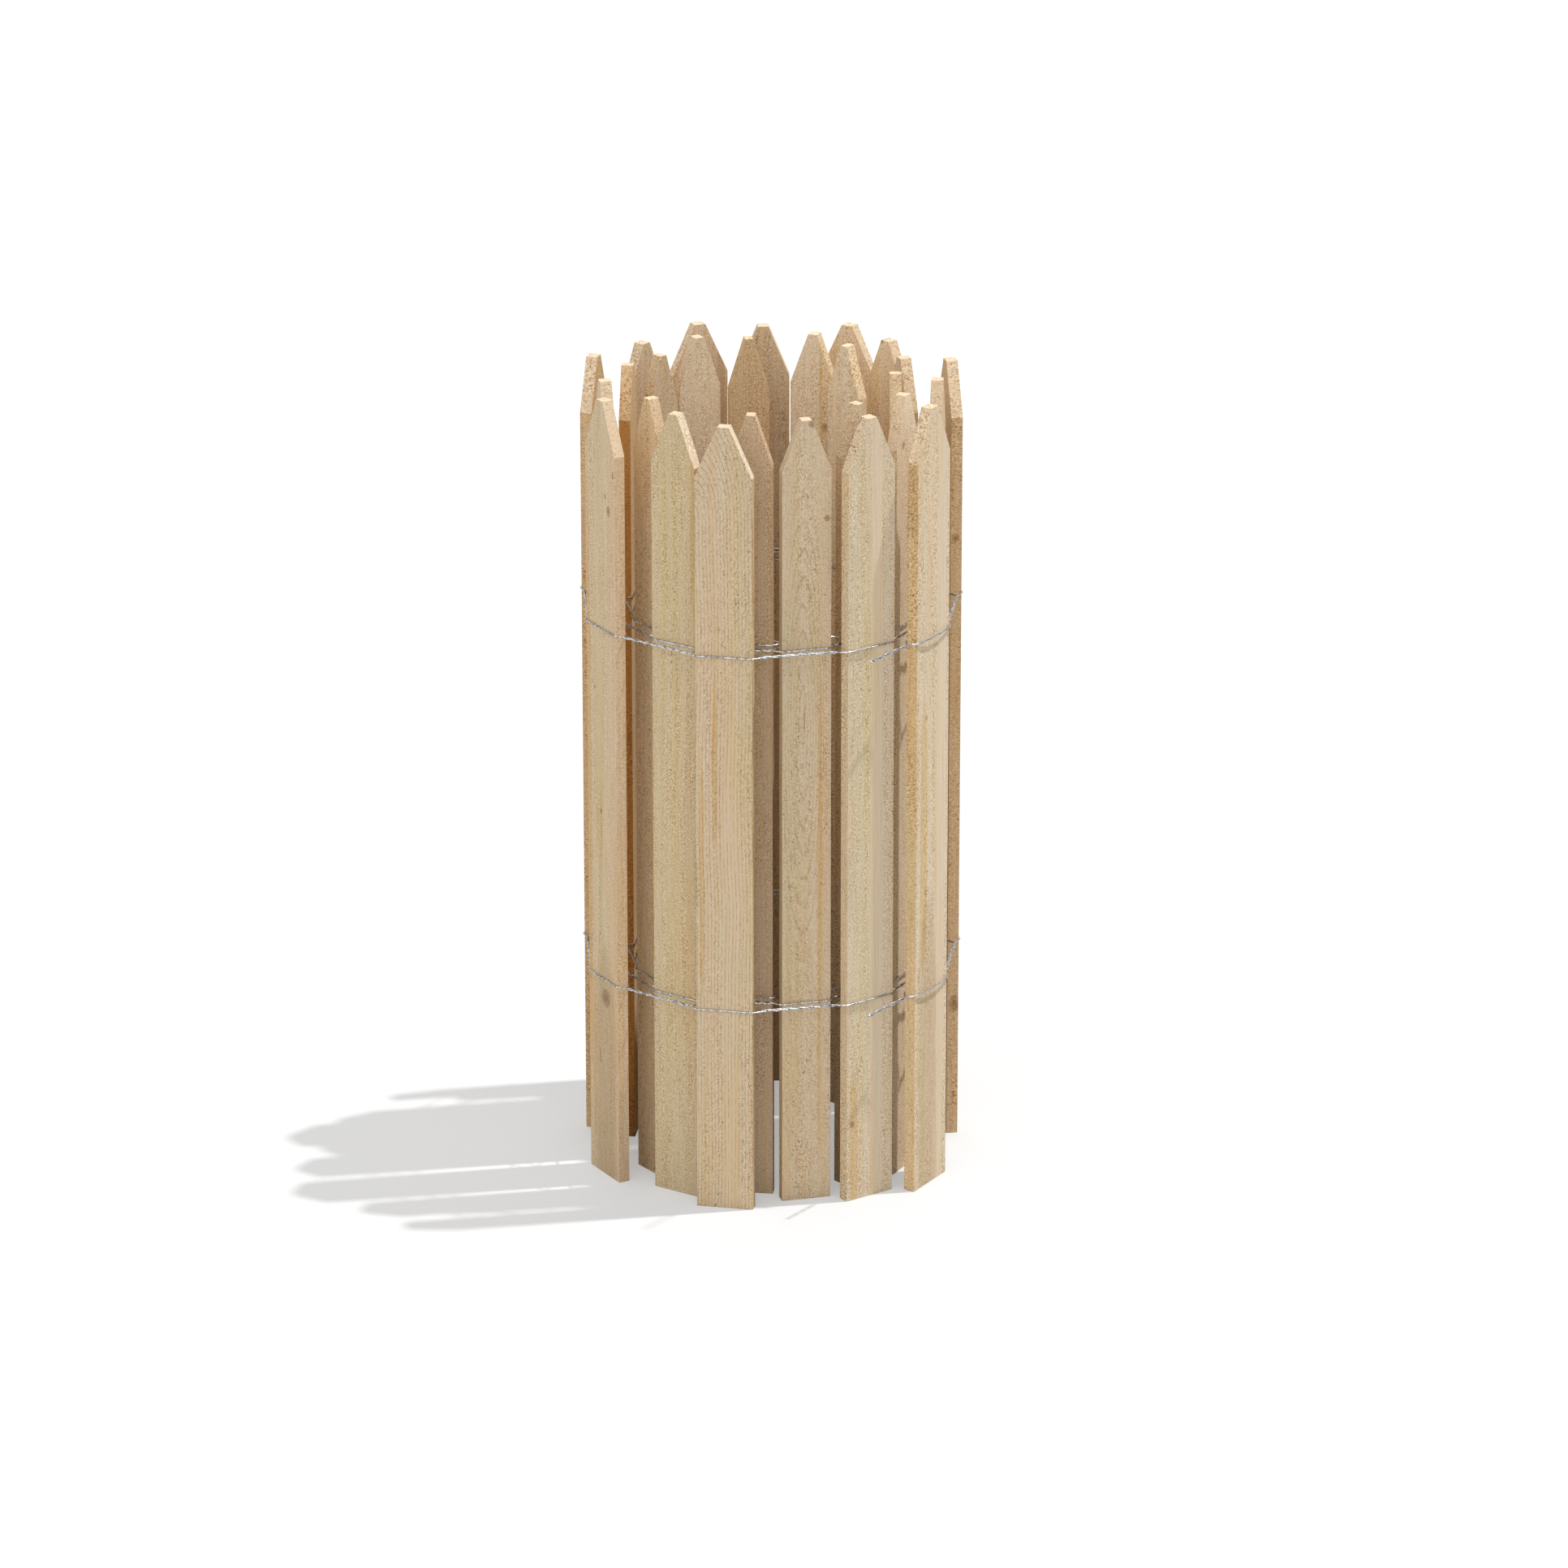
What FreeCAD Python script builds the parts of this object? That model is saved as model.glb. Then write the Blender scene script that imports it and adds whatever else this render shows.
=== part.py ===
import FreeCAD, Part
import math
import os

# Roll of wired picket fencing, standing on the lower ends of its boards.
# Millimetres, +Z up. The free outer end of the roll is at the right of the front, seen along +Y.
# The roll's axis is vertical, and the origin is on the floor at the middle of the roll's footprint.

# Boards
picket_count = 27
picket_height = 1219.0
shoulder_height = 1142.0
picket_thickness = 17.5
outer_picket_width = 93.0
inner_picket_width = 59.0
tip_share = 0.2

# The roll: board centres on a spiral, with room for the wires and some slack between its turns
outer_radius = 287.5
layer_slack = 7.9
step_angle = 48.47
start_angle = -33.8

# Boards that stand turned from the spiral, by number from the outer end, in degrees
turned_boards = {1: 2.5, 2: -3.0, 5: 5.0, 6: 2.0, 7: 2.0, 13: 4.0, 20: 5.0}

# The last board inside has sprung away from its place on the spiral
sprung_outward = 4.0
sprung_along = 8.0
sprung_turn = -11.0

# Wires: two strands, each of two wires with every board between them
lower_strand_height = 316.0
upper_strand_height = 869.0
wire_diameter = 2.5
wire_clearance = 0.3
bend_past_edge = 1.5
twist_past_edge = 12.0
bay_half_turns = 7
steps_per_half_turn = 2
wire_sides = 4

# The free ends of the strands
outer_tail_length = 96.0
outer_tail_half_turns = 5
outer_tail_curl = 5.0
inner_tail_length = 50.0
inner_tail_half_turns = 3
inner_tail_curl = 40.0

# Worked out from the sizes above
wire_room = wire_clearance + wire_diameter
radius_per_turn = picket_thickness + 2 * wire_room + layer_slack
radius_per_step = radius_per_turn * step_angle / 360.0
width_per_step = (outer_picket_width - inner_picket_width) / (picket_count - 1)
face_offset = picket_thickness / 2 + wire_clearance + wire_diameter / 2
half_step_angle = math.pi / (2 * steps_per_half_turn)
twist_radius = (wire_diameter / 2 + wire_clearance / 2) / math.cos(half_step_angle)

up = FreeCAD.Vector(0, 0, 1)


class Place:
    """Where one board stands: its centre, its own directions and its width."""

    def __init__(self, number):
        angle = math.radians(start_angle + number * step_angle)
        radius = outer_radius - number * radius_per_step
        turn = turned_boards.get(number + 1, 0.0)
        if number == picket_count - 1:
            radius += sprung_outward
            angle += sprung_along / radius
            turn = sprung_turn
        turned = angle + math.radians(turn)
        self.centre = FreeCAD.Vector(radius * math.cos(angle), radius * math.sin(angle), 0)
        self.outward = FreeCAD.Vector(math.cos(turned), math.sin(turned), 0)
        self.along = up.cross(self.outward)
        self.width = outer_picket_width - number * width_per_step

    def point(self, along, outward, height):
        return self.centre + self.along * along + self.outward * outward + up * height


def flat_face(corners):
    return Part.Face(Part.makePolygon(corners + corners[:1]))


def picket(place):
    """A board with a blunt point: shoulders, two straight slopes and a narrow flat tip."""
    half = place.width / 2
    half_tip = half * tip_share
    half_outline = [(half, 0.0), (half, shoulder_height), (half_tip, picket_height)]
    mirrored = [(-along, height) for along, height in reversed(half_outline)]
    back = -picket_thickness / 2
    corners = [place.point(along, back, height) for along, height in half_outline + mirrored]
    return flat_face(corners).extrude(place.outward * picket_thickness)


def twist(start, end, half_turns, side, height, outward):
    """One wire of a twisted pair round the line from start to end, from its place on one side."""
    steps = half_turns * steps_per_half_turn
    points = []
    for step in range(steps + 1):
        angle = math.pi * step / steps_per_half_turn
        middle = start + (end - start) * (step / steps)
        swing = outward * math.cos(angle) - up * math.sin(angle)
        points.append(middle + swing * (side * twist_radius) + up * height)
    return points


def tail_end(place, direction, length, curl_degrees):
    """The free end of a strand, which leaves the board's edge and curls a little inwards."""
    edge = place.point(direction * (place.width / 2 + twist_past_edge), 0, 0)
    curl = math.radians(curl_degrees)
    heading = place.along * (direction * math.cos(curl)) - place.outward * math.sin(curl)
    return edge, edge + heading * length


def wire_path(places, first_side, height):
    """The middle line of one wire, which changes sides in every bay that has odd half turns."""
    side = first_side
    if outer_tail_half_turns % 2:
        side = -side
    edge, end = tail_end(places[0], -1, outer_tail_length, outer_tail_curl)
    points = twist(end, edge, outer_tail_half_turns, side, height, places[0].outward)
    side = first_side
    for place, following in zip(places, places[1:] + [None]):
        half = place.width / 2
        points.append(place.point(-half - bend_past_edge, side * face_offset, height))
        points.append(place.point(half + bend_past_edge, side * face_offset, height))
        if following:
            start = place.point(half + twist_past_edge, 0, 0)
            end = following.point(-following.width / 2 - twist_past_edge, 0, 0)
            outward = (place.outward + following.outward).normalize()
            points += twist(start, end, bay_half_turns, side, height, outward)
            if bay_half_turns % 2:
                side = -side
    start, end = tail_end(places[-1], 1, inner_tail_length, inner_tail_curl)
    points += twist(start, end, inner_tail_half_turns, side, height, places[-1].outward)
    return points


def wire(points):
    """A straight-sided wire along the points, mitred at each, so that every side face is flat."""
    heading = (points[1] - points[0]).normalize()
    across = heading.cross(up).normalize()
    square = heading.cross(across)
    ring = []
    for corner in range(wire_sides):
        angle = 2 * math.pi * (corner + 0.5) / wire_sides
        spoke = across * math.cos(angle) + square * math.sin(angle)
        ring.append(points[0] + spoke * (wire_diameter / 2))
    faces = [flat_face(ring)]
    for here, after in zip(points[1:], points[2:] + [None]):
        next_heading = (after - here).normalize() if after else heading
        mitre = heading + next_heading
        next_ring = [p + heading * ((here - p).dot(mitre) / heading.dot(mitre)) for p in ring]
        for corner in range(wire_sides):
            beside = (corner + 1) % wire_sides
            faces.append(flat_face([ring[corner], ring[beside], next_ring[beside], next_ring[corner]]))
        ring = next_ring
        heading = next_heading
    faces.append(flat_face(ring))
    shell = Part.Shell(faces)
    shell.sewShape()
    return Part.Solid(shell)


def save(node, shape, shift):
    shape.translate(shift)
    shape.exportStep("parts/" + node + ".step")
    print(node, "valid", shape.isValid(), "volume", round(shape.Volume))


os.makedirs("parts", exist_ok=True)
places = [Place(number) for number in range(picket_count)]
solids = {}
for number, place in enumerate(places):
    solids["picket_%02d" % (number + 1)] = picket(place)
for strand, height in (("lower", lower_strand_height), ("upper", upper_strand_height)):
    solids[strand + "_wire_a"] = wire(wire_path(places, 1, height))
    solids[strand + "_wire_b"] = wire(wire_path(places, -1, height))

footprint = Part.makeCompound(list(solids.values())).BoundBox
to_origin = FreeCAD.Vector(-footprint.Center.x, -footprint.Center.y, 0)
print("roll axis at", to_origin, "size", footprint.XLength, footprint.YLength, footprint.ZLength)
for node, shape in solids.items():
    save(node, shape, to_origin)
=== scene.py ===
import bmesh
import bpy
import math
import random
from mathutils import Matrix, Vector, noise


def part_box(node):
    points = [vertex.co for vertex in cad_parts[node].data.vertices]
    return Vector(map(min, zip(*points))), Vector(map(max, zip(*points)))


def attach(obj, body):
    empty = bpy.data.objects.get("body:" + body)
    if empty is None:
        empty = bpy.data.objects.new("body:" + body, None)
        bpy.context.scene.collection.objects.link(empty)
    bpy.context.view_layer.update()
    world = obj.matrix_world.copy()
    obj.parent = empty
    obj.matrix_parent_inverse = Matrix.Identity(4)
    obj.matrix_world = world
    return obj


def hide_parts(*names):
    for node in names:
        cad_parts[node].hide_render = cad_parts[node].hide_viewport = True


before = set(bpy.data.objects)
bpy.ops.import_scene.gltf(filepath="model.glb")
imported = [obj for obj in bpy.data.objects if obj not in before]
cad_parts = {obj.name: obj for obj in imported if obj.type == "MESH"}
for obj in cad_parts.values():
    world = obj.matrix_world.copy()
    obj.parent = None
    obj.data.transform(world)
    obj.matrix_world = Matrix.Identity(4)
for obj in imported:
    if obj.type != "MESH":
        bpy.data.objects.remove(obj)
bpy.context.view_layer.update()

# Roll of wired picket fencing. Its boards are numbered from the free outer end inwards.

up = Vector((0, 0, 1))
mm = 0.001


def addObject(name, data):
    thing = bpy.data.objects.new(name, data)
    bpy.context.scene.collection.objects.link(thing)
    return thing


# places of the boards, read from the frame

def readBoard(node):
    corners = {tuple(round(c, 6) for c in v.co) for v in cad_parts[node].data.vertices}
    heights = sorted({c[2] for c in corners})       # foot, shoulders and tip
    foot = [Vector(c[:2]) for c in corners if c[2] == heights[0]]
    tip = [Vector(c[:2]) for c in corners if c[2] == heights[-1]]
    sides = sorted((p - foot[0] for p in foot[1:]), key=lambda side: side.length)
    centre = sum(foot, Vector((0, 0))) / len(foot)
    outward = sides[0].normalized()
    tipWidth = max(abs((p - q).dot(outward.orthogonal())) for p in tip for q in tip)
    return {
        "node": node,
        "centre": centre.to_3d(),
        "outward": outward.to_3d(),
        "thickness": sides[0].length,
        "width": sides[1].length,
        "tipWidth": tipWidth,
        "shoulder": heights[1],
        "height": heights[2],
    }


def readBoards():
    nodes = sorted(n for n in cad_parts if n.startswith("picket_"))
    boards = [readBoard(n) for n in nodes]
    axis = sum((b["centre"] for b in boards), Vector()) / len(boards)
    for board in boards:
        if board["outward"].dot(board["centre"] - axis) < 0:
            board["outward"] = -board["outward"]
        board["along"] = up.cross(board["outward"])     # to the right, seen from outside
    return boards


def boardPoint(board, along, outward, height):
    return board["centre"] + board["along"] * along + board["outward"] * outward + up * height


# camera

cameraView = {
    "photoSize": 1932,          # pixels
    "focalPixels": 10004.0,
    "place": (0.0081, -11.4147, 4.7533),
    "downDegrees": 20.095,
    "rightDegrees": 0.054,
    "sensorMm": 36.0,
    "clipEnd": 200.0,
}


def addCamera():
    data = bpy.data.cameras.new("photoCamera")
    data.sensor_width = cameraView["sensorMm"]
    data.lens = cameraView["focalPixels"] / cameraView["photoSize"] * cameraView["sensorMm"]
    data.clip_end = cameraView["clipEnd"]
    camera = addObject("photoCamera", data)
    camera.location = cameraView["place"]
    turn = (math.radians(90 - cameraView["downDegrees"]), 0, -math.radians(cameraView["rightDegrees"]))
    camera.rotation_euler = turn
    bpy.context.scene.camera = camera


# node helpers

number = "NodeSocketFloat"
vector = "NodeSocketVector"


def newMaterial(name):
    material = bpy.data.materials.new(name)
    material.use_nodes = True
    return material, material.node_tree, material.node_tree.nodes["Principled BSDF"]


# a new node; each of its inputs is given a fixed value, or another node's output to link to
def addNode(tree, kind, inputs=None, **settings):
    node = tree.nodes.new(kind)
    for name, value in settings.items():
        setattr(node, name, value)
    for name, value in (inputs or {}).items():
        socket = node.inputs[name]
        if isinstance(value, bpy.types.NodeSocket):
            tree.links.new(value, socket)
        else:
            socket.default_value = value
    return node


def calc(tree, operation, first, second=0.5, third=0.5):
    inputs = {0: first, 1: second, 2: third}        # 0.5 is what an unused input holds anyway
    return addNode(tree, "ShaderNodeMath", inputs, operation=operation).outputs[0]


def largest(tree, values):
    top = values[0] if values else 0.0
    for value in values[1:]:
        top = calc(tree, "MAXIMUM", top, value)
    return top


def dotProduct(tree, first, second):
    inputs = {0: first, 1: second}
    return addNode(tree, "ShaderNodeVectorMath", inputs, operation="DOT_PRODUCT").outputs["Value"]


def splitVector(tree, source):
    return addNode(tree, "ShaderNodeSeparateXYZ", {0: source}).outputs


def mixColours(tree, factor, first, second, blend="MIX"):
    inputs = {"Factor": factor, 6: first, 7: second}        # 6 and 7 are the node's two colours
    return addNode(tree, "ShaderNodeMix", inputs, data_type="RGBA", blend_type=blend).outputs[2]


# a smooth step from toLow to toHigh while the value goes from low to high
def ramp(tree, value, low, high, toLow=0.0, toHigh=1.0):
    inputs = {"Value": value, "From Min": low, "From Max": high, "To Min": toLow, "To Max": toHigh}
    return addNode(tree, "ShaderNodeMapRange", inputs, interpolation_type="SMOOTHSTEP").outputs[0]


fineDetail = {"detail": 3.0, "roughness": 0.6}      # for a noise with small cells inside its cells


# a noise whose cells are cell metres across, through and up the board, slanting by slant radians
def cellNoise(tree, place, cell, detail=2.0, roughness=0.5, slant=None, output="Fac"):
    inputs = {"Vector": place, "Scale": cell}
    if slant is not None:
        inputs["Rotation"] = addNode(tree, "ShaderNodeCombineXYZ", {1: slant}).outputs[0]
    cells = addNode(tree, "ShaderNodeMapping", inputs, vector_type="TEXTURE").outputs[0]
    inputs = {"Vector": cells, "Scale": 1.0, "Detail": detail, "Roughness": roughness}
    return addNode(tree, "ShaderNodeTexNoise", inputs).outputs[output]


# a slow wander to both sides, metres wide in all
def wander(tree, place, cell, metres):
    return calc(tree, "MULTIPLY_ADD", cellNoise(tree, place, cell), metres, -metres / 2)


# the distance from a mark's middle, made uneven by a noise so that the mark's edge is ragged
def ragged(tree, distance, unevenness, amount):
    return calc(tree, "MULTIPLY_ADD", unevenness, amount, calc(tree, "SUBTRACT", distance, amount / 2))


def addBump(tree, shader, height, strength, distance):
    inputs = {"Height": height, "Strength": strength, "Distance": distance}
    tree.links.new(addNode(tree, "ShaderNodeBump", inputs).outputs[0], shader.inputs["Normal"])


def newGroup(name, inputs, outputs):
    tree = bpy.data.node_groups.new(name, "ShaderNodeTree")
    for label, kind in inputs:
        tree.interface.new_socket(label, in_out="INPUT", socket_type=kind)
    for label in outputs:
        tree.interface.new_socket(label, in_out="OUTPUT", socket_type=number)
    return tree, tree.nodes.new("NodeGroupInput").outputs, tree.nodes.new("NodeGroupOutput").inputs


def useGroup(tree, group, **values):
    inputs = {name.replace("_", " "): value for name, value in values.items()}
    return addNode(tree, "ShaderNodeGroup", inputs, node_tree=group).outputs


# In the groups below, Place and Grain run across, through and up the board in metres.
# Place starts at the board's foot, and Grain is Place moved so that no two boards look alike.
# A cell is the size of a noise's cells the same three ways, and a range is where a mask starts
# and where it is full.

# growth rings: cones round a pith that starts to lean away from the board's face at Lean From;
# Ring is the late wood and Line its thin, broken edge, which fades out towards Reach from the pith
ringShape = {
    "wanderCell": (0.2, 0.2, 0.3),
    "wander": 0.012,
    "ruffleCell": (0.009, 0.009, 0.08),
    "ruffle": 0.002,
    "lateSharpness": 3.0,
    "lateEnd": 0.84,            # share of a ring's width past which its late wood fades
    "lineRange": (0.30, 0.62),
    "dashCell": (0.002, 0.004, 0.007),
    "dashRange": (0.36, 0.56),
    "fadeFrom": 0.7,            # share of Reach
}


def ringGroup():
    tree, given, out = newGroup("growthRings", [
        ("Place", vector), ("Grain", vector), ("Pith Across", number), ("Pith Depth", number),
        ("Lean", number), ("Lean From", number), ("Ring Width", number), ("Reach", number),
        ("Push", number),
    ], ["Ring", "Line"])
    place = splitVector(tree, given["Place"])
    sideways = wander(tree, given["Grain"], ringShape["wanderCell"], ringShape["wander"])
    across = calc(tree, "ADD", calc(tree, "SUBTRACT", place[0], given["Pith Across"]), sideways)
    above = calc(tree, "MAXIMUM", calc(tree, "SUBTRACT", place[2], given["Lean From"]), 0.0)
    depth = calc(tree, "MULTIPLY_ADD", above, given["Lean"], given["Pith Depth"])
    depth = calc(tree, "ADD", depth, place[1])
    squared = calc(tree, "MULTIPLY_ADD", across, across, calc(tree, "MULTIPLY", depth, depth))
    radius = calc(tree, "ADD", calc(tree, "SQRT", squared), given["Push"])
    ruffle = cellNoise(tree, given["Grain"], ringShape["ruffleCell"])
    ruffled = calc(tree, "MULTIPLY_ADD", ruffle, ringShape["ruffle"], radius)
    phase = calc(tree, "FRACT", calc(tree, "DIVIDE", ruffled, given["Ring Width"]))
    late = calc(tree, "POWER", phase, ringShape["lateSharpness"])
    late = calc(tree, "MULTIPLY", late, ramp(tree, phase, 1.0, ringShape["lateEnd"]))
    tree.links.new(late, out["Ring"])
    dashes = ramp(tree, cellNoise(tree, given["Grain"], ringShape["dashCell"]), *ringShape["dashRange"])
    line = calc(tree, "MULTIPLY", ramp(tree, late, *ringShape["lineRange"]), dashes)
    fadeFrom = calc(tree, "MULTIPLY", given["Reach"], ringShape["fadeFrom"])
    fade = ramp(tree, radius, given["Reach"], fadeFrom)
    tree.links.new(calc(tree, "MULTIPLY", line, fade), out["Line"])
    return tree


# slow bands of colour and fine fibres that run up the board
bandShape = {
    "bandCell": (0.015, 0.03, 0.50),
    "bandRange": (0.46, 0.62),
    "fibreCell": (0.0012, 0.004, 0.07),
}


def bandGroup():
    tree, given, out = newGroup("grainBands", [("Grain", vector)], ["Warm", "Cool", "Rosy", "Fibre"])
    colours = cellNoise(tree, given["Grain"], bandShape["bandCell"], output="Color")
    for band, name in zip(splitVector(tree, colours), ("Warm", "Cool", "Rosy")):
        tree.links.new(ramp(tree, band, *bandShape["bandRange"]), out[name])
    tree.links.new(cellNoise(tree, given["Grain"], bandShape["fibreCell"], **fineDetail), out["Fibre"])
    return tree


# torn fibres of a rough-sawn face: fine specks all over, and dark pits where the wood tore; both are
# strong in some bands and weak in others, and nearly gone where Plain is 1
fuzzShape = {
    "speckCell": (0.0013, 0.004, 0.0032),
    "speckRoughness": 0.55,
    "speckRange": (0.28, 0.72),
    "patchCell": (0.011, 0.03, 0.22),
    "patchRange": (0.42, 0.60),
    "weakest": 0.45,            # strength of the specks between the patches
    "plainCut": 0.85,
    "tearCell": (0.006, 0.03, 0.03),
    "tearRange": (0.45, 0.62),
    "pitRange": (0.42, 0.32),
    "pitDepth": 0.3,
}


def fuzzGroup():
    tree, given, out = newGroup("sawnFuzz", [
        ("Grain", vector), ("Slant", number), ("Spread", number), ("Plain", number),
    ], ["Amount", "Speck", "Pit", "Height"])
    specks = cellNoise(tree, given["Grain"], fuzzShape["speckCell"],
                       roughness=fuzzShape["speckRoughness"], slant=given["Slant"])
    patches = cellNoise(tree, given["Grain"], fuzzShape["patchCell"], **fineDetail)
    patches = calc(tree, "ADD", patches, given["Spread"])
    amount = ramp(tree, patches, *fuzzShape["patchRange"], fuzzShape["weakest"], 1.0)
    left = calc(tree, "MULTIPLY_ADD", given["Plain"], -fuzzShape["plainCut"], 1.0)
    amount = calc(tree, "MULTIPLY", amount, left)
    tree.links.new(amount, out["Amount"])
    tree.links.new(ramp(tree, specks, *fuzzShape["speckRange"]), out["Speck"])
    tears = cellNoise(tree, given["Grain"], fuzzShape["tearCell"], **fineDetail)
    tears = ramp(tree, tears, *fuzzShape["tearRange"])
    pit = calc(tree, "MULTIPLY", ramp(tree, specks, *fuzzShape["pitRange"]), tears)
    pit = calc(tree, "MULTIPLY", pit, amount)
    tree.links.new(pit, out["Pit"])
    rise = calc(tree, "MULTIPLY", calc(tree, "SUBTRACT", specks, 0.5), amount)
    tree.links.new(calc(tree, "MULTIPLY_ADD", pit, -fuzzShape["pitDepth"], rise), out["Height"])
    return tree


# one knot through the board, which pushes the rings aside; its ranges are in knot sizes from its
# middle, and for the push they are squared
knotShape = {
    "raggedCell": (0.002, 0.005, 0.002),
    "raggedEdge": 0.7,
    "coreRange": (0.95, 0.5),
    "rimInside": (0.6, 1.0),
    "rimOutside": (1.5, 1.0),
    "pushUp": (9.0, 0.0),
    "pushAcross": (12.0, 0.0),
}


def knotGroup():
    tree, given, out = newGroup("boardKnot", [
        ("Place", vector), ("Across", number), ("Up", number), ("Size", number), ("Tall", number),
    ], ["Core", "Rim", "Push"])
    place = splitVector(tree, given["Place"])
    across = calc(tree, "DIVIDE", calc(tree, "SUBTRACT", place[0], given["Across"]), given["Size"])
    rise = calc(tree, "DIVIDE", calc(tree, "SUBTRACT", place[2], given["Up"]), given["Size"])
    rise = calc(tree, "DIVIDE", rise, given["Tall"])
    across = calc(tree, "MULTIPLY", across, across)
    rise = calc(tree, "MULTIPLY", rise, rise)
    distance = calc(tree, "SQRT", calc(tree, "ADD", across, rise))
    unevenness = cellNoise(tree, given["Place"], knotShape["raggedCell"])
    distance = ragged(tree, distance, unevenness, knotShape["raggedEdge"])
    tree.links.new(ramp(tree, distance, *knotShape["coreRange"]), out["Core"])
    inside = ramp(tree, distance, *knotShape["rimInside"])
    outside = ramp(tree, distance, *knotShape["rimOutside"])
    tree.links.new(calc(tree, "MULTIPLY", inside, outside), out["Rim"])
    near = calc(tree, "MULTIPLY", ramp(tree, rise, *knotShape["pushUp"]),
                ramp(tree, across, *knotShape["pushAcross"]))
    tree.links.new(calc(tree, "MULTIPLY", near, given["Size"]), out["Push"])
    return tree


# one long soft stain or streak up the board, with level sides where Long is many times Wide; at the
# feet of boards 1 and 6 it carries painted shade
streakShape = {
    "wanderCell": (0.05, 0.05, 0.12),
    "wander": 0.008,
    "raggedCell": (0.003, 0.01, 0.04),
    "raggedEdge": 1.4,
    "range": (1.15, 0.35),
}


def streakGroup():
    tree, given, out = newGroup("grainStreak", [
        ("Place", vector), ("Across", number), ("Up", number), ("Wide", number), ("Long", number),
    ], ["Mask"])
    place = splitVector(tree, given["Place"])
    rise = calc(tree, "DIVIDE", calc(tree, "SUBTRACT", place[2], given["Up"]), given["Long"])
    sideways = wander(tree, given["Place"], streakShape["wanderCell"], streakShape["wander"])
    across = calc(tree, "ADD", calc(tree, "SUBTRACT", place[0], given["Across"]), sideways)
    across = calc(tree, "DIVIDE", across, given["Wide"])
    rise = calc(tree, "MULTIPLY", rise, rise)
    distance = calc(tree, "MULTIPLY_ADD", across, across, calc(tree, "MULTIPLY", rise, rise))
    unevenness = cellNoise(tree, given["Place"], streakShape["raggedCell"], **fineDetail)
    distance = ragged(tree, distance, unevenness, streakShape["raggedEdge"])
    tree.links.new(ramp(tree, distance, *streakShape["range"]), out["Mask"])
    return tree


# the boards' wood: tones and tints are named, and each board picks its own

woodTones = {
    "cream": (0.72, 0.61, 0.46),
    "straw": (0.68, 0.55, 0.39),
    "olive": (0.67, 0.55, 0.36),
    "honey": (0.68, 0.51, 0.32),
    "rosy": (0.70, 0.56, 0.42),
    "tan": (0.64, 0.49, 0.33),
}

tints = {
    "warm": (0.99, 0.95, 0.84, 1),
    "cool": (0.97, 0.98, 0.96, 1),
    "rosy": (1.00, 0.96, 0.94, 1),
    "ring": (0.78, 0.68, 0.54, 1),
    "line": (0.66, 0.54, 0.40, 1),
    "fibre": (0.86, 0.79, 0.68, 1),
    "dark": (0.62, 0.54, 0.43, 1),
    "light": (1.28, 1.30, 1.34, 1),
    "pit": (0.40, 0.32, 0.23, 1),
    "narrow": (0.98, 0.93, 0.84, 1),
    "knot": (0.34, 0.21, 0.12, 1),
    "golden": (0.93, 0.81, 0.58, 1),
    "brown": (0.66, 0.50, 0.34, 1),
    "green": (0.95, 0.97, 0.90, 1),
    "pink": (1.00, 0.94, 0.91, 1),
    # shade is a greyish darkening; at the feet of boards 1 and 6 it is painted shade near the floor,
    # elsewhere it darkens a small streak
    "shade": (0.82, 0.76, 0.68, 1),
    "plain": (1.02, 0.99, 0.97, 1),
    "rust": (0.95, 0.68, 0.36, 1),
}

# lengths here and in the next two dictionaries are in millimetres
woodLook = {
    "tone": "straw",
    "light": 1.0,
    "warm": 0.8,
    "cool": 0.8,
    "rosy": 0.8,
    "rings": 0.25,
    "lines": 0.0,
    "leanFrom": 0,
    "reach": 90,
    "fibre": 0.55,
    "fibreRange": (0.40, 0.72),
    "specks": 1.0,
    "pits": 1.0,
    "spread": 0.0,
    "knots": [],
    "edgeKnots": [],
    "knotCore": 0.62,
    "knotRim": 0.5,
    "streaks": [],
    "streakShare": 0.8,
    "narrow": "narrow",
    "narrowShare": 1.0,
    "endTone": (0.60, 0.475, 0.335, 1),
    "endShare": 0.8,
    # painted light: the next two give the tip slopes that face right, towards the key light, a lighter
    # tone, and how much of it
    "paintedLightSlopeTone": (0.74, 0.62, 0.48, 1),
    "paintedLightRightSlope": 0.0,
    "roughRange": (0.3, 0.7),
    "roughness": (0.72, 0.88),
    "specular": 0.25,
    "fibreRise": 0.3,
    "bump": 0.5,
    "bumpDistance": 0.0008,     # metres
}

# how a board grew is drawn between these, unless the board's own look gives it
grownBetween = {
    "seed": 300,
    "pithAcross": (-60, 60),
    "pithDepth": (25, 80),      # to either side
    "lean": (-0.03, 0.03),
    "ringWidth": (3.5, 6.5),
    "slant": (0.5, 0.9),        # radians, to either side
}

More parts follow.
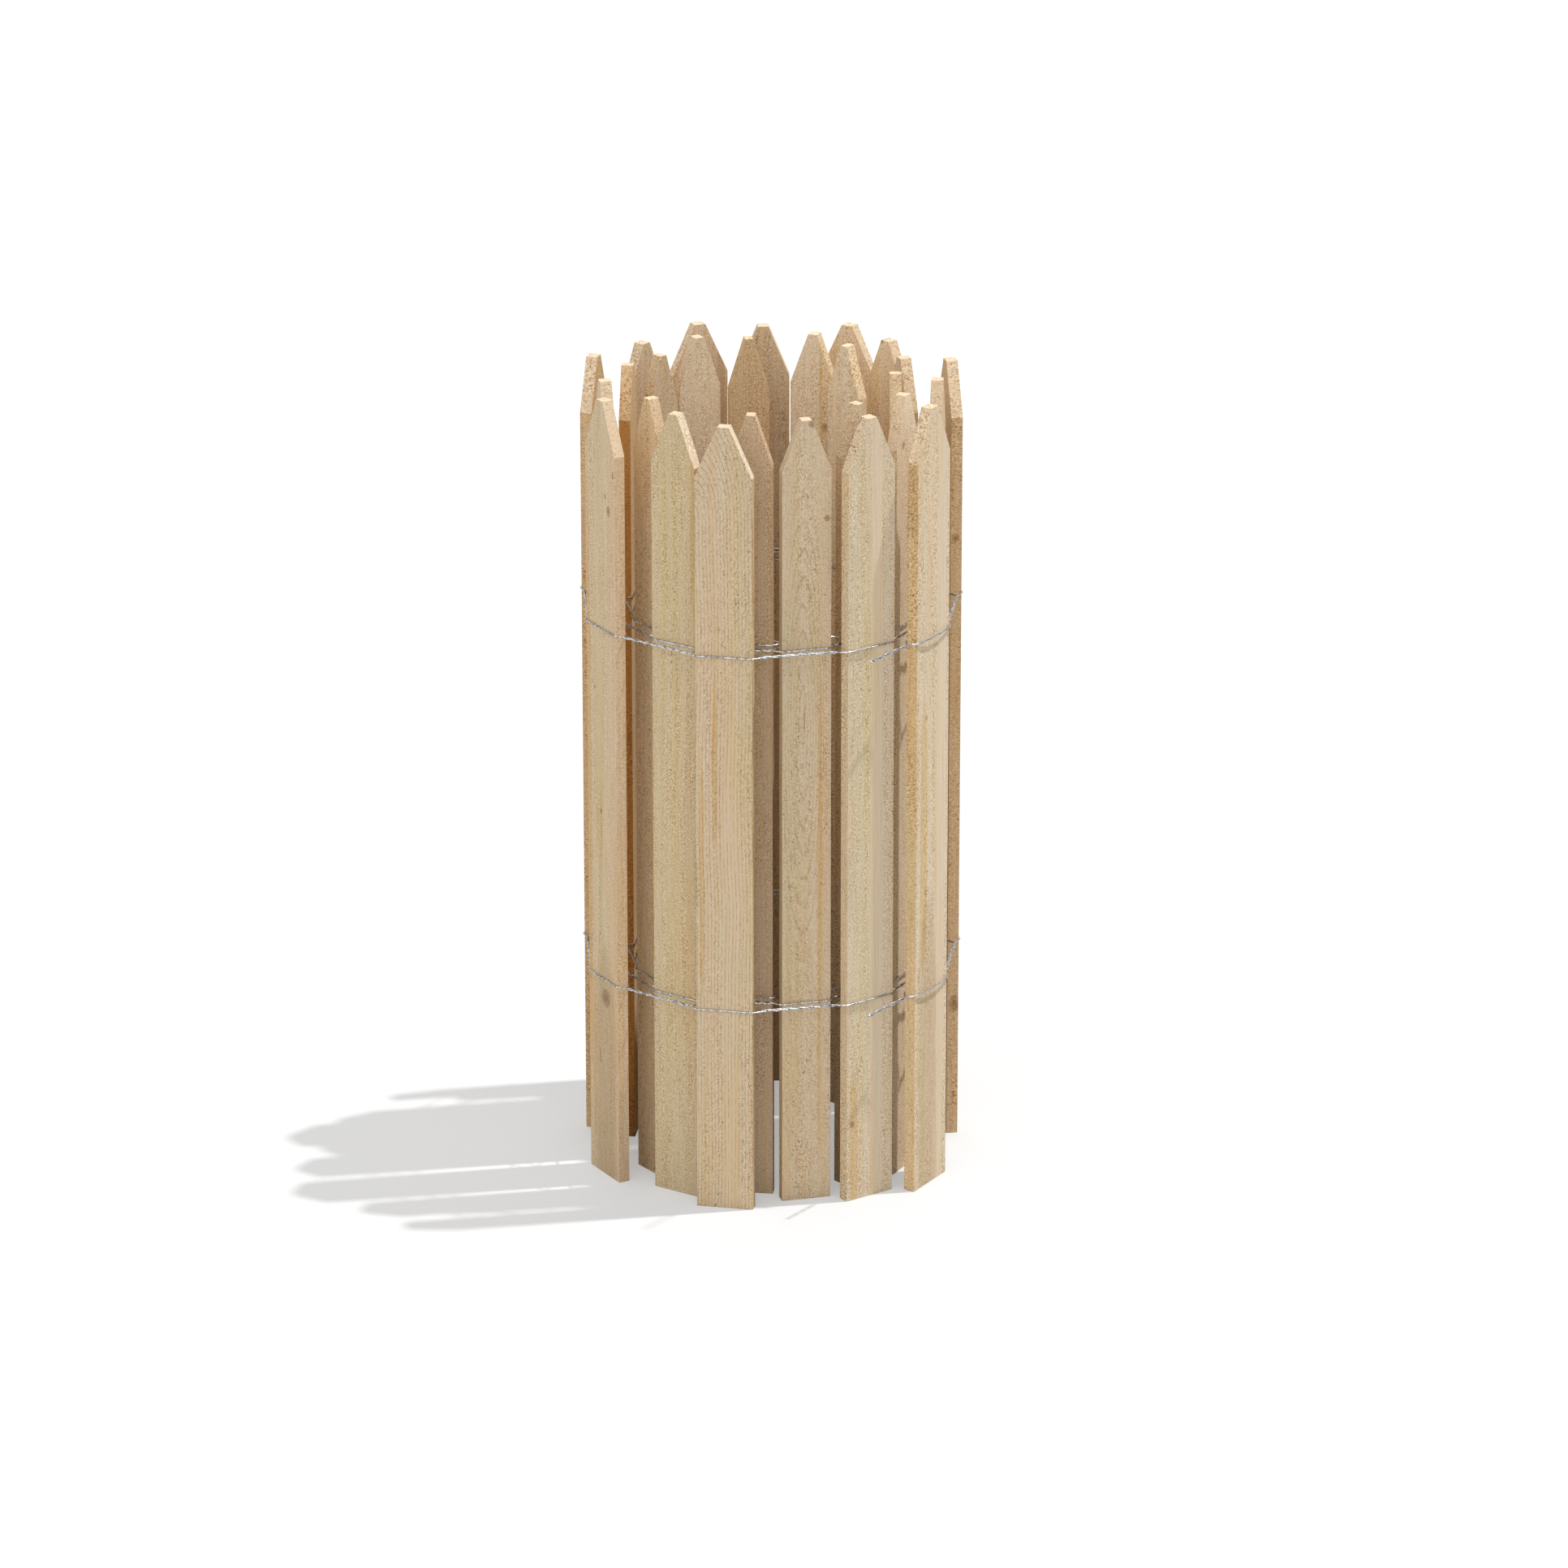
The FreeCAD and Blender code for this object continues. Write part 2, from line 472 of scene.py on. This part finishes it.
# what sets single boards apart, by number from the outer end; a knot is its place across and up
# the board, its size and how tall it is for its width, and a streak its place, width, length and tint;
# an edge knot shows on the narrow faces, and its place is through the board and up it
boardLooks = {
    1: {
        "tone": "cream", "light": 0.97, "narrow": "golden", "narrowShare": 0.85,
        "knots": [(-18, 745, 2.2, 1.2)],
        "streaks": [(24, 600, 17, 760, "plain"), (-24, 560, 12, 220, "golden"),
                    # the wide shade streak low on this board is painted shade near the floor
                    (-10, 150, 30, 330, "shade"), (-47, 1085, 3, 60, "shade")],
    },
    2: {"tone": "tan", "slant": 0.8, "edgeKnots": [(1, 955, 4.5, 1.2), (-2, 212, 7.0, 1.5)]},
    3: {"light": 1.08, "knots": [(-22, 640, 5.0, 1.3)]},
    4: {
        "tone": "rosy", "light": 1.05, "slant": -0.8,
        "knots": [(-12, 480, 4.5, 1.3)],
        "streaks": [(28, 1080, 3, 34, "brown"), (-34, 1120, 7, 80, "shade")],
    },
    5: {"tone": "honey", "light": 0.95},
    6: {
        "light": 0.94, "spread": -0.06, "specks": 0.85, "narrow": "pink",
        "knots": [(39, 1114, 2.2, 2.2), (15, 1076, 2.2, 1.5), (25, 1056, 4.0, 1.6),
                  (-20, 772, 2.0, 1.2), (-3, 581, 2.6, 1.2), (7, 286, 9.0, 1.3)],
        "streaks": [(-8, 760, 20, 600, "green"), (-3, 560, 3, 60, "golden"),
                    (-37, 640, 7, 500, "golden"), (30, 640, 12, 600, "pink"),
                    # the wide shade streak at this board's foot is painted shade near the floor
                    (-28, 180, 5, 150, "golden"), (5, 120, 34, 260, "shade"),
                    (-12, 188, 1.5, 14, "brown")],
    },
    7: {
        # painted light on this board's right-facing tip slope
        "light": 0.92, "lines": 0.95, "reach": 140, "specks": 0.6, "spread": -0.02, "paintedLightRightSlope": 0.8,
        "pithAcross": -44, "pithDepth": 8.9, "lean": 0.40, "leanFrom": 1078, "ringWidth": 5.2,
        "streaks": [(31, 950, 14, 350, "green"), (-14, 700, 4, 130, "golden"),
                    (-33, 520, 4, 200, "golden"), (10, 350, 14, 500, "plain")],
    },
    8: {
        "tone": "cream", "light": 0.93,
        "knots": [(-32, 122, 3.2, 1.3)],
        "streaks": [(10, 600, 13, 780, "plain"), (-16, 640, 22, 560, "green"),
                    (-30, 90, 9, 120, "golden")],
    },
    10: {"light": 1.12, "knots": [(7, 1217, 3.0, 1.0)]},
    11: {"knots": [(16, 410, 6.0, 1.2)]},
    14: {
        # painted light on this board's right-facing tip slope
        "tone": "olive", "light": 0.90, "paintedLightRightSlope": 0.9,
        "streaks": [(38, 1050, 7, 200, "golden"), (26, 400, 11, 460, "pink")],
    },
    15: {
        "light": 0.91, "lines": 0.55, "reach": 42, "specks": 0.65,
        "pithAcross": -5, "pithDepth": -65.7, "lean": 0.1, "ringWidth": 4.2,
        "knots": [(8, 1213, 4.5, 1.0), (31, 1068, 3.5, 1.2)],
        "streaks": [(5, 900, 4, 80, "green"), (-4, 763, 1.2, 22, "brown"),
                    (20, 450, 4, 420, "golden"), (-22, 600, 12, 620, "green")],
    },
    16: {"tone": "cream", "light": 1.16, "knots": [(-15, 1146, 4.0, 1.3)]},
    18: {
        "tone": "cream", "light": 1.14,
        "knots": [(-20, 1076, 4.5, 1.3)],
        "streaks": [(-14, 1100, 3, 160, "golden")],
    },
    19: {"tone": "cream", "light": 1.12, "warm": 0.3},
    20: {"tone": "honey", "narrow": "rust"},
    21: {"tone": "honey"},
    22: {"tone": "tan", "light": 0.92},
    25: {"tone": "cream", "light": 1.18, "slant": 0.8},
    26: {"tone": "honey", "light": 1.06},
}

# how much of a face's normal points along the board's width, or upwards, where each of these starts
# and where it is full
turnedFaces = {
    "narrow": (0.75, 0.95),     # to either side
    # where a slope faces right enough to get its painted light
    "right": (0.4, 0.7),
    "end": (0.2, 0.4),          # upwards
    "belowFlat": (0.8, 0.6),    # upwards, since the flat tip is no slope
}

boardShift = (0.37, 0.11, 1.31)     # metres between the grain of one board and that of the next


def drawGrowth(index):
    draw = random.Random(grownBetween["seed"] + index)
    return {
        "pithAcross": draw.uniform(*grownBetween["pithAcross"]),
        "pithDepth": draw.choice((-1, 1)) * draw.uniform(*grownBetween["pithDepth"]),
        "lean": draw.uniform(*grownBetween["lean"]),
        "ringWidth": draw.uniform(*grownBetween["ringWidth"]),
        "slant": draw.choice((-1, 1)) * draw.uniform(*grownBetween["slant"]),
    }


def boardPlaces(tree, board, index):
    turn = (0, 0, math.atan2(board["along"].y, board["along"].x))
    inputs = {"Location": board["centre"], "Rotation": turn}
    inputs["Vector"] = addNode(tree, "ShaderNodeTexCoord").outputs["Object"]
    place = addNode(tree, "ShaderNodeMapping", inputs, vector_type="TEXTURE").outputs[0]
    shift = [index * metres for metres in boardShift]
    grain = addNode(tree, "ShaderNodeVectorMath", {0: place, 1: shift}, operation="ADD").outputs[0]
    return place, grain


def addKnots(tree, group, look, place):
    parts = splitVector(tree, place)
    turned = {0: parts[1], 1: parts[0], 2: parts[2]}
    edgePlace = addNode(tree, "ShaderNodeCombineXYZ", turned).outputs[0]
    knots = []
    for kind, seenPlace in (("knots", place), ("edgeKnots", edgePlace)):
        for across, rise, size, tall in look[kind]:
            knots.append(useGroup(tree, group, Place=seenPlace, Across=across * mm, Up=rise * mm,
                                  Size=size * mm, Tall=tall))
    return knots


def addStreaks(tree, group, look, place):
    streaks = []
    for across, rise, wide, length, tint in look["streaks"]:
        streak = useGroup(tree, group, Place=place, Across=across * mm, Up=rise * mm,
                          Wide=wide * mm, Long=length * mm)
        streaks.append((streak["Mask"], tint))
    return streaks


def addRings(tree, group, look, place, grain, knots):
    return useGroup(
        tree, group, Place=place, Grain=grain, Pith_Across=look["pithAcross"] * mm,
        Pith_Depth=look["pithDepth"] * mm, Lean=look["lean"], Lean_From=look["leanFrom"] * mm,
        Ring_Width=look["ringWidth"] * mm, Reach=look["reach"] * mm,
        Push=largest(tree, [k["Push"] for k in knots]))


def tinted(tree, base, factor, tint, strength):
    return mixColours(tree, calc(tree, "MULTIPLY", factor, strength), base, tints[tint], "MULTIPLY")


# the board's tone with its bands, streaks, rings and fibres
def grainColour(tree, look, bands, streaks, rings):
    tone = [share * look["light"] for share in woodTones[look["tone"]]]
    warmTone = [t * w for t, w in zip(tone, tints["warm"])]
    warm = calc(tree, "MULTIPLY", bands["Warm"], look["warm"])
    base = mixColours(tree, warm, (*tone, 1), (*warmTone, 1))
    base = tinted(tree, base, bands["Cool"], "cool", look["cool"])
    base = tinted(tree, base, bands["Rosy"], "rosy", look["rosy"])
    for mask, tint in streaks:
        base = tinted(tree, base, mask, tint, look["streakShare"])
    base = tinted(tree, base, rings["Ring"], "ring", look["rings"])
    base = tinted(tree, base, rings["Line"], "line", look["lines"])
    return tinted(tree, base, ramp(tree, bands["Fibre"], *look["fibreRange"]), "fibre", look["fibre"])


# the narrow faces, the sawn ends and the slopes differ from the broad faces; on some boards the slopes
# that face right, towards the key light, get painted light, a lighter tone
def turnedColour(tree, look, board, base):
    normal = addNode(tree, "ShaderNodeNewGeometry").outputs["True Normal"]
    sideways = dotProduct(tree, normal, board["along"])
    upward = splitVector(tree, normal)[2]
    narrow = ramp(tree, calc(tree, "ABSOLUTE", sideways), *turnedFaces["narrow"])
    base = tinted(tree, base, narrow, look["narrow"], look["narrowShare"])
    endCut = ramp(tree, upward, *turnedFaces["end"], 0.0, look["endShare"])
    base = mixColours(tree, endCut, base, look["endTone"])
    # painted light: the tip slopes that face right, towards the key light, are mixed towards a lighter
    # tone
    if look["paintedLightRightSlope"]:
        slope = calc(tree, "MULTIPLY", ramp(tree, upward, *turnedFaces["end"]),
                     ramp(tree, upward, *turnedFaces["belowFlat"]))
        slope = calc(tree, "MULTIPLY", slope, ramp(tree, sideways, *turnedFaces["right"]))
        slope = calc(tree, "MULTIPLY", slope, look["paintedLightRightSlope"])
        base = mixColours(tree, slope, base, look["paintedLightSlopeTone"])
    return base


# specks, pits and knots go over all faces
def markedColour(tree, look, fuzz, knots, base):
    speck = mixColours(tree, fuzz["Speck"], tints["dark"], tints["light"])
    strength = calc(tree, "MULTIPLY", fuzz["Amount"], look["specks"])
    base = mixColours(tree, strength, base, speck, "MULTIPLY")
    base = tinted(tree, base, fuzz["Pit"], "pit", look["pits"])
    if knots:
        base = tinted(tree, base, largest(tree, [k["Core"] for k in knots]), "knot", look["knotCore"])
        base = tinted(tree, base, largest(tree, [k["Rim"] for k in knots]), "knot", look["knotRim"])
    return base


def makeWoodMaterial(board, index, groups):
    look = {**woodLook, **drawGrowth(index), **boardLooks.get(index, {})}
    material, tree, shader = newMaterial("sawnBoard%02d" % index)
    place, grain = boardPlaces(tree, board, index)
    knots = addKnots(tree, groups["knot"], look, place)
    streaks = addStreaks(tree, groups["streak"], look, place)
    rings = addRings(tree, groups["rings"], look, place, grain, knots)
    bands = useGroup(tree, groups["bands"], Grain=grain)
    plain = [mask for mask, tint in streaks if tint == "plain"]
    fuzz = useGroup(tree, groups["fuzz"], Grain=grain, Slant=look["slant"], Spread=look["spread"],
                    Plain=largest(tree, plain))

    base = grainColour(tree, look, bands, streaks, rings)
    base = turnedColour(tree, look, board, base)
    base = markedColour(tree, look, fuzz, knots, base)
    tree.links.new(base, shader.inputs["Base Color"])
    rough = ramp(tree, bands["Fibre"], *look["roughRange"], *look["roughness"])
    tree.links.new(rough, shader.inputs["Roughness"])
    shader.inputs["Specular IOR Level"].default_value = look["specular"]
    height = calc(tree, "MULTIPLY_ADD", bands["Fibre"], look["fibreRise"], fuzz["Height"])
    addBump(tree, shader, height, look["bump"], look["bumpDistance"])
    return material


# pieces

def addPiece(name, bm, material, node):
    mesh = bpy.data.meshes.new(name)
    bm.to_mesh(mesh)
    bm.free()
    piece = addObject(name, mesh)
    mesh.materials.append(material)
    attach(piece, "root")
    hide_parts(node)
    return piece


boardShape = {
    "arris": 0.0005,
    "arrisSteps": 2,
    "cuts": 24,                 # level cuts, so that the sides can waver
    "waver": 0.0003,
    "waversPerMetre": 14,
}


def makeBoard(board, index, material):
    half = board["width"] / 2
    halfTip = board["tipWidth"] / 2
    back = -board["thickness"] / 2
    rightSide = [(half, 0), (half, board["shoulder"]), (halfTip, board["height"])]
    outline = rightSide + [(-along, rise) for along, rise in reversed(rightSide)]
    bm = bmesh.new()
    face = bm.faces.new([bm.verts.new(boardPoint(board, along, back, rise)) for along, rise in outline])
    grown = bmesh.ops.extrude_face_region(bm, geom=[face])["geom"]
    moved = [v for v in grown if isinstance(v, bmesh.types.BMVert)]
    bmesh.ops.translate(bm, vec=board["outward"] * board["thickness"], verts=moved)
    bmesh.ops.recalc_face_normals(bm, faces=bm.faces[:])
    bmesh.ops.bevel(bm, geom=bm.edges[:], offset=boardShape["arris"], segments=boardShape["arrisSteps"],
                    profile=0.5, affect="EDGES", material=-1)
    for cut in range(1, boardShape["cuts"]):
        level = up * (board["shoulder"] * cut / boardShape["cuts"])
        geom = bm.verts[:] + bm.edges[:] + bm.faces[:]
        bmesh.ops.bisect_plane(bm, geom=geom, plane_co=level, plane_no=up)
    # the sawn edges waver a little, never outside the board's own size
    for vert in bm.verts:
        if boardShape["arris"] * 2 < vert.co.z < board["height"] - boardShape["arris"] * 2:
            waver = noise.noise(vert.co * boardShape["waversPerMetre"] + Vector((index, 0, 0)))
            pull = waver * 0.5 + 0.5
            side = math.copysign(pull, (board["centre"] - vert.co).dot(board["along"]))
            vert.co += board["along"] * side * boardShape["waver"]
    return addPiece("board_%02d" % index, bm, material, board["node"])


# wires: two strands, each of two wires with every board between them; a tail's curl is in degrees

wireShape = {
    "diameter": 0.0025,
    "clearance": 0.0003,
    "bendPastEdge": 0.0012,
    "twistPastEdge": 0.011,
    "twistRadius": 1.03,        # in radii of the wire, so that the two just clear each other
    "halfTurns": 7,
    "stepsPerHalfTurn": 7,
    "outerTail": {"length": 0.096, "halfTurns": 5, "curl": 5.0},
    "innerTail": {"length": 0.050, "halfTurns": 3, "curl": 40.0},
    "boardShares": (-1, -0.9, -0.6, 0, 0.6, 0.9, 1),    # where the line has points on a board
    "firstBoardBow": 0.0042,    # the outer wire stands off the first board's middle
    "bevelResolution": 3,
    "mergeWithin": 0.00001,
}


def twistPoints(start, end, halfTurns, side, outward):
    points = []
    steps = halfTurns * wireShape["stepsPerHalfTurn"]
    radius = wireShape["diameter"] / 2 * wireShape["twistRadius"]
    for step in range(steps + 1):
        angle = math.pi * step / wireShape["stepsPerHalfTurn"]
        middle = start.lerp(end, step / steps)
        points.append(middle + (outward * math.cos(angle) - up * math.sin(angle)) * side * radius)
    return points


def tailLine(board, direction, tail, height):
    edge = boardPoint(board, direction * (board["width"] / 2 + wireShape["twistPastEdge"]), 0, height)
    curl = math.radians(tail["curl"])
    heading = board["along"] * direction * math.cos(curl) - board["outward"] * math.sin(curl)
    return edge, edge + heading * tail["length"]


# one wire's middle line; it is outside the boards where side is 1 and inside where side is -1
def wirePath(boards, firstSide, height):
    outer = wireShape["outerTail"]
    inner = wireShape["innerTail"]
    side = -firstSide if outer["halfTurns"] % 2 else firstSide
    edge, end = tailLine(boards[0], -1, outer, height)
    points = twistPoints(end, edge, outer["halfTurns"], side, boards[0]["outward"])
    side = firstSide
    for board, after in zip(boards, boards[1:] + [None]):
        half = board["width"] / 2 + wireShape["bendPastEdge"]
        offset = side * (board["thickness"] / 2 + wireShape["clearance"] + wireShape["diameter"] / 2)
        bow = wireShape["firstBoardBow"] if board is boards[0] and side > 0 else 0.0
        for share in wireShape["boardShares"]:
            points.append(boardPoint(board, half * share, offset + bow * (1 - share * share), height))
        if after:
            start = boardPoint(board, board["width"] / 2 + wireShape["twistPastEdge"], 0, height)
            end = boardPoint(after, -after["width"] / 2 - wireShape["twistPastEdge"], 0, height)
            outward = (board["outward"] + after["outward"]).normalized()
            points += twistPoints(start, end, wireShape["halfTurns"], side, outward)
            if wireShape["halfTurns"] % 2:
                side = -side
    edge, end = tailLine(boards[-1], 1, inner, height)
    return points + twistPoints(edge, end, inner["halfTurns"], side, boards[-1]["outward"])


def makeWire(name, points, material):
    curve = bpy.data.curves.new(name, "CURVE")
    curve.dimensions = "3D"
    spline = curve.splines.new("NURBS")
    spline.points.add(len(points) - 1)
    for point, place in zip(spline.points, points):
        point.co = (*place, 1)
    spline.order_u = 3
    spline.use_endpoint_u = True
    spline.resolution_u = 1
    curve.bevel_depth = wireShape["diameter"] / 2
    curve.bevel_resolution = wireShape["bevelResolution"]
    curve.use_fill_caps = True
    drawn = addObject(name + "Line", curve)
    bpy.context.view_layer.update()
    tube = bpy.data.meshes.new_from_object(drawn)
    bpy.data.objects.remove(drawn)
    bm = bmesh.new()
    bm.from_mesh(tube)
    bmesh.ops.remove_doubles(bm, verts=bm.verts[:], dist=wireShape["mergeWithin"])
    bmesh.ops.recalc_face_normals(bm, faces=bm.faces[:])
    for face in bm.faces:
        face.smooth = True
    return addPiece(name.replace("_wire", "_strand"), bm, material, name)


zincLook = {
    "bright": (0.76, 0.76, 0.77, 1),
    "dull": (0.30, 0.30, 0.31, 1),
    "spangleCell": (0.004, 0.004, 0.004),
    "dullRange": (0.40, 0.62),
    "roughRange": (0.35, 0.65),
    "roughness": (0.22, 0.42),
    "grainCell": (0.0007, 0.0007, 0.0007),
    "bump": 0.25,
    "bumpDistance": 0.0002,
}


def makeZincMaterial():
    material, tree, shader = newMaterial("galvanisedWire")
    place = addNode(tree, "ShaderNodeTexCoord").outputs["Object"]
    spangle = cellNoise(tree, place, zincLook["spangleCell"], **fineDetail)
    dull = ramp(tree, spangle, *zincLook["dullRange"])
    base = mixColours(tree, dull, zincLook["bright"], zincLook["dull"])
    tree.links.new(base, shader.inputs["Base Color"])
    rough = ramp(tree, spangle, *zincLook["roughRange"], *zincLook["roughness"])
    tree.links.new(rough, shader.inputs["Roughness"])
    shader.inputs["Metallic"].default_value = 1.0
    grain = cellNoise(tree, place, zincLook["grainCell"])
    addBump(tree, shader, grain, zincLook["bump"], zincLook["bumpDistance"])
    return material


# floor

floorLook = {
    "size": 60.0,
    "seen": (0.385, 0.385, 0.385, 1),
    "bounced": (0.50, 0.50, 0.50, 1),       # the tone that lights the roll from below
    "glow": 0.365,              # the seen floor's own light, which keeps its shadows pale
    "roughness": 0.9,
}


def addFloor():
    bm = bmesh.new()
    bmesh.ops.create_grid(bm, x_segments=1, y_segments=1, size=floorLook["size"] / 2)
    mesh = bpy.data.meshes.new("floor")
    bm.to_mesh(mesh)
    bm.free()
    floor = addObject("floor", mesh)
    material, tree, shader = newMaterial("paleFloor")
    seen = addNode(tree, "ShaderNodeLightPath").outputs["Is Camera Ray"]
    tone = mixColours(tree, seen, floorLook["bounced"], floorLook["seen"])
    tree.links.new(tone, shader.inputs["Base Color"])
    shader.inputs["Emission Color"].default_value = (1, 1, 1, 1)
    tree.links.new(calc(tree, "MULTIPLY", seen, floorLook["glow"]), shader.inputs["Emission Strength"])
    shader.inputs["Roughness"].default_value = floorLook["roughness"]
    shader.inputs["Specular IOR Level"].default_value = 0.0
    mesh.materials.append(material)


# light; softboxes are broad lights in the sky, each a heading and a strength, and the key light's
# angles are in degrees

lightSetup = {
    "skyFill": 0.15,
    "softboxes": [((0, -1, 0.8), 1.55), ((-1, -0.3, 0.5), 0.9), ((0, 1, 0.8), 1.2)],
    "softboxSpread": 4.0,       # a higher one is narrower
    "keyStrength": 3.15,
    "keyAzimuth": 10.0,
    "keyElevation": 68.8,
    "keySoftness": 1.2,
}


def addSky():
    world = bpy.data.worlds.new("softStudio")
    world.use_nodes = True
    tree = world.node_tree
    heading = addNode(tree, "ShaderNodeTexCoord").outputs["Generated"]
    strength = lightSetup["skyFill"]
    for towards, amount in lightSetup["softboxes"]:
        facing = calc(tree, "MAXIMUM", dotProduct(tree, heading, Vector(towards).normalized()), 0.0)
        facing = calc(tree, "POWER", facing, lightSetup["softboxSpread"])
        strength = calc(tree, "MULTIPLY_ADD", facing, amount, strength)
    background = tree.nodes["Background"]
    background.inputs["Color"].default_value = (1.0, 1.0, 1.0, 1)
    tree.links.new(strength, background.inputs["Strength"])
    bpy.context.scene.world = world


def addKeyLight():
    data = bpy.data.lights.new("keyLight", "SUN")
    data.energy = lightSetup["keyStrength"]
    data.angle = math.radians(lightSetup["keySoftness"])
    key = addObject("keyLight", data)
    fromTop = math.radians(90 - lightSetup["keyElevation"])
    key.rotation_euler = (0, fromTop, math.radians(lightSetup["keyAzimuth"]))


addCamera()
boards = readBoards()
print("boards read from the frame:", len(boards))
groups = {
    "rings": ringGroup(),
    "bands": bandGroup(),
    "fuzz": fuzzGroup(),
    "knot": knotGroup(),
    "streak": streakGroup(),
}
for index, board in enumerate(boards, 1):
    makeBoard(board, index, makeWoodMaterial(board, index, groups))
print("boards made")
zinc = makeZincMaterial()
for strand in ("lower", "upper"):
    low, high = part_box(strand + "_wire_a")
    height = (low.z + high.z) / 2
    makeWire(strand + "_wire_a", wirePath(boards, 1, height), zinc)
    makeWire(strand + "_wire_b", wirePath(boards, -1, height), zinc)
print("wires made")
addFloor()
addSky()
addKeyLight()
bpy.context.scene.view_settings.view_transform = "Standard"
print("floor and light made")
